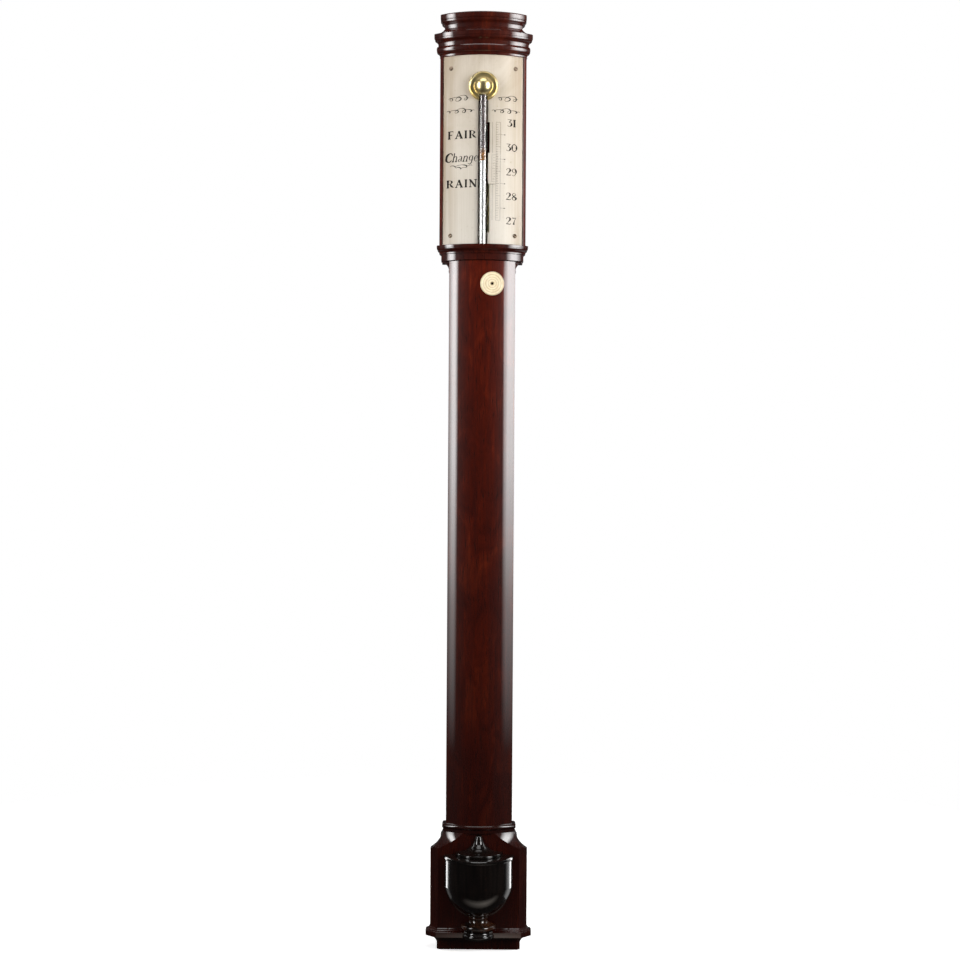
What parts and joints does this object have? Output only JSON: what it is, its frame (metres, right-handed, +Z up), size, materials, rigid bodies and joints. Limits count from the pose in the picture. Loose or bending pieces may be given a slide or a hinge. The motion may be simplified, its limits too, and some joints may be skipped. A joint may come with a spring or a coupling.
{
  "type": "stick barometer",
  "caption": "Wall-hung bow-front stick barometer: moulded hood with silvered scale, rack-driven vernier, mercury tube and a pull-off urn over the cistern.",
  "frame": {"origin": "centre of the hanging hole, on the wall plane", "axes": "+Z up along the case, -Y the front that faces the room, +Y into the wall, +X to the viewer's right"},
  "size_m": [0.109, 0.0755, 0.9717],
  "materials": {
    "mahogany": "French-polished dark mahogany",
    "ebony": "ebonised and polished",
    "boxwood": "turned boxwood, waxed",
    "silvered_brass": "silvered and lacquered",
    "brass": "polished and lacquered",
    "steel": "blued",
    "glass": "clear",
    "mercury": "liquid mirror",
    "leather": "soft undyed",
    "bone": "turned and polished bone"
  },
  "bodies": {
    "case": {"cornice_cap": "mahogany", "cornice": "mahogany", "hood_core": "mahogany", "stile_left": "mahogany", "stile_right": "mahogany", "lower_hood_moulding": "mahogany", "trunk_body": "mahogany", "trunk_base_bead": "mahogany", "trunk_back_strip": "mahogany", "cistern_box": "mahogany", "plinth_moulding": "mahogany", "cistern_back_cover": "mahogany", "cistern_body": "boxwood", "cistern_cap": "boxwood", "cistern_ring": "boxwood", "register_plate": "silvered_brass", "boss_flange": "brass", "boss_dome": "brass", "rack_guides": "brass", "pinion_bracket": "brass", "tube_clips": "brass", "hanging_plate": "brass", "screw_bush": "brass", "back_strip_screws": "brass", "back_cover_screws": "brass", "hanging_plate_screws": "brass", "tube_clip_screws": "brass", "rack_guide_screws": "brass", "pinion_bracket_screws": "brass", "register_plate_screws": "steel", "glass_tube": "glass", "mercury_column": "mercury", "cistern_mercury": "mercury", "cistern_leather": "leather", "key_disc": "bone"},
    "vernier": {"vernier_plate": "silvered_brass", "vernier_carriage": "brass", "rack": "brass"},
    "pinion": {"pinion_arbor": "steel"},
    "pad": {"pressure_pad": "boxwood"},
    "screw": {"portable_screw": "brass"},
    "cistern_cover": {"urn_bowl": "ebony", "urn_lid": "ebony", "urn_finial": "ebony", "urn_stem": "ebony", "urn_foot": "ebony", "cover_pins": "brass"}
  },
  "joints": [
    {"name": "vernier_slide", "type": "slide", "parent": "case", "child": "vernier", "axis": [0, 0, 1], "range_m": [-0.05, 0.032]},
    {"name": "pinion_turn", "type": "hinge", "parent": "case", "child": "pinion", "pos_m": [0.0103, -0.025, -0.2169], "axis": [0, 1, 0], "range_deg": [-900, 580]},
    {"name": "pad_lift", "type": "slide", "parent": "case", "child": "pad", "axis": [0, 0, 1], "range_m": [0, 0.003], "deforming": ["cistern_leather", "cistern_mercury"]},
    {"name": "screw_turn", "type": "hinge", "parent": "pad", "child": "screw", "pos_m": [0, -0.03, -0.885], "axis": [0, 0, 1], "range_deg": [0, 720.1]},
    {"name": "cover_pull", "type": "slide", "parent": "case", "child": "cistern_cover", "axis": [0, -1, 0], "range_m": [0, 0.045]}
  ],
  "couplings": [
    {"joint": "pinion_turn", "follows": "vernier_slide", "rad_per_m": 312.5},
    {"joint": "screw_turn", "follows": "pad_lift", "rad_per_m": 4188.8}
  ]
}
